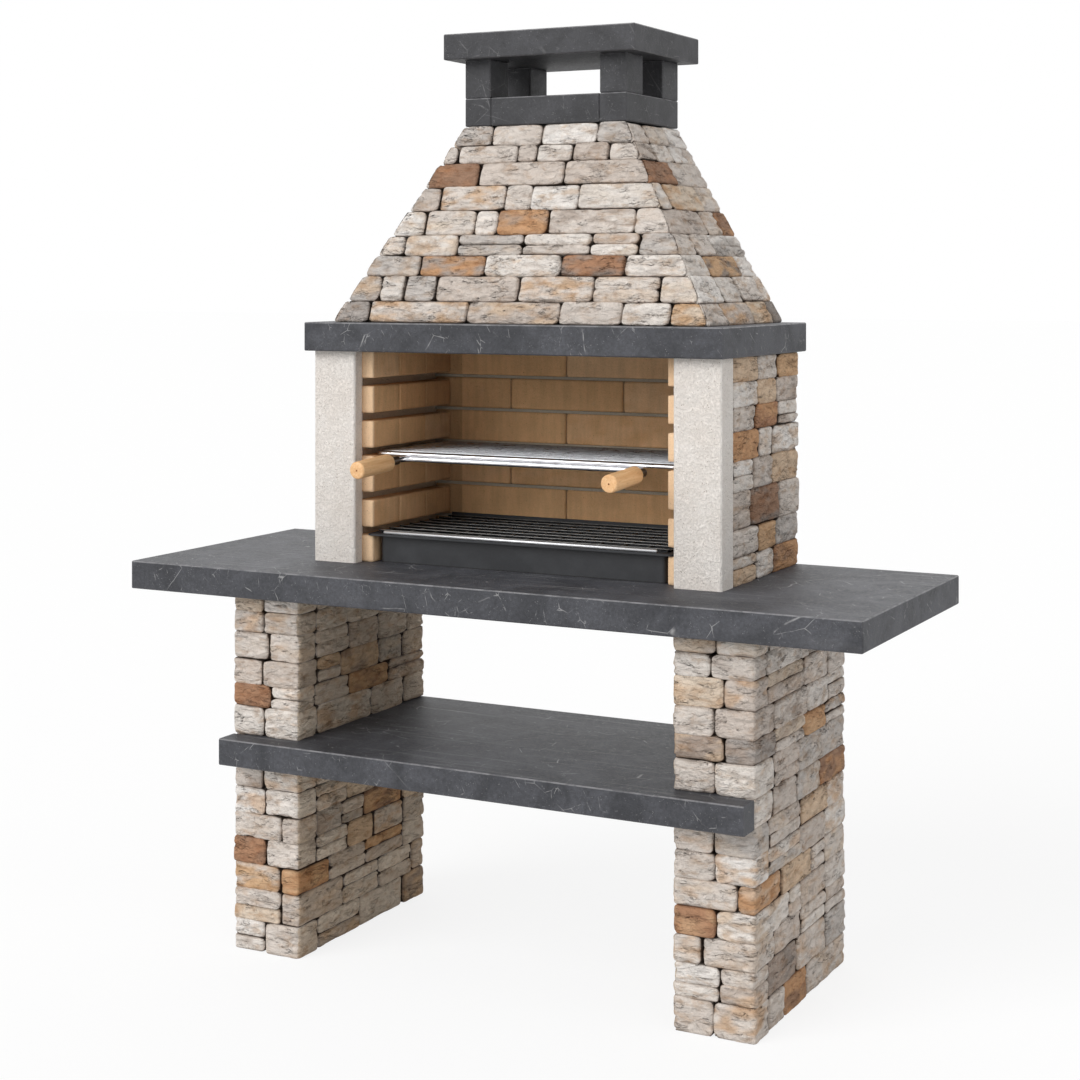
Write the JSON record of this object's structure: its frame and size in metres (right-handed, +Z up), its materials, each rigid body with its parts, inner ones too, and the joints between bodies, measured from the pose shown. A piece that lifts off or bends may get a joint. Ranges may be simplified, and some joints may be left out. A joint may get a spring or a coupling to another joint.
{
  "type": "masonry barbecue",
  "caption": "Garden masonry barbecue with stone piers, dark slabs, a firebrick firebox with a sliding wire grill, an ash pan and a stone-faced hood under an open chimney.",
  "frame": {"origin": "on the ground, at the middle of the whole object's width and depth", "axes": "+Z up, +X to the right as seen from the cook's side, +Y towards the back wall; the cook stands on the -Y side"},
  "size_m": [1.71, 0.681, 2.033],
  "materials": {
    "cast_slab": "honed",
    "chimney_slab": "honed",
    "pier_stone": "rough",
    "wall_stone": "rough",
    "hood_stone": "rough",
    "column_stone": "rough",
    "cast_shell": "rough",
    "firebrick": "matt",
    "mortar": "rough",
    "bright_wire": "polished",
    "dull_steel": "satin",
    "handle_wood": "satin",
    "black_pan": "matt",
    "grate_wire": "satin"
  },
  "bodies": {
    "masonry": {"worktop": "cast_slab", "shelf_slab": "cast_slab", "pier_lower_left": "pier_stone", "pier_lower_right": "pier_stone", "pier_upper_left": "pier_stone", "pier_upper_right": "pier_stone", "shelf_cover_left": "pier_stone", "shelf_cover_right": "pier_stone", "jamb_left": "column_stone", "jamb_right": "column_stone", "side_panel_left": "cast_shell", "side_panel_right": "cast_shell", "side_stones_left": "wall_stone", "side_stones_right": "wall_stone", "back_panel": "cast_shell", "firebricks_left": "firebrick", "firebricks_right": "firebrick", "firebricks_back": "firebrick", "back_mortar": "mortar", "lintel_slab": "cast_slab", "hood_shell": "cast_shell", "hood_stones_front": "hood_stone", "hood_stones_left": "hood_stone", "hood_stones_right": "hood_stone", "crown_beam_front": "chimney_slab", "crown_beam_back": "chimney_slab", "crown_beam_left": "chimney_slab", "crown_beam_right": "chimney_slab", "post_front_left": "chimney_slab", "post_front_right": "chimney_slab", "post_back_left": "chimney_slab", "post_back_right": "chimney_slab", "cap_slab": "chimney_slab"},
    "cooking_grill": {"grill_grid": "bright_wire", "grill_handle_bar": "bright_wire", "ferrule_left": "dull_steel", "ferrule_right": "dull_steel", "handle_left": "handle_wood", "handle_right": "handle_wood"},
    "ash_pan": {"ash_pan": "black_pan", "ash_pan_floor": "black_pan"},
    "charcoal_grate": {"charcoal_grate": "grate_wire"}
  },
  "joints": [
    {"name": "grill_slide", "type": "slide", "parent": "masonry", "child": "cooking_grill", "axis": [0, -1, 0], "range_m": [0, 0.4]},
    {"name": "ash_pan_slide", "type": "slide", "parent": "masonry", "child": "ash_pan", "axis": [0, -1, 0], "range_m": [0, 0.33]},
    {"name": "grate_lift", "type": "slide", "parent": "ash_pan", "child": "charcoal_grate", "axis": [0, 0, 1], "range_m": [0, 0.12]}
  ]
}
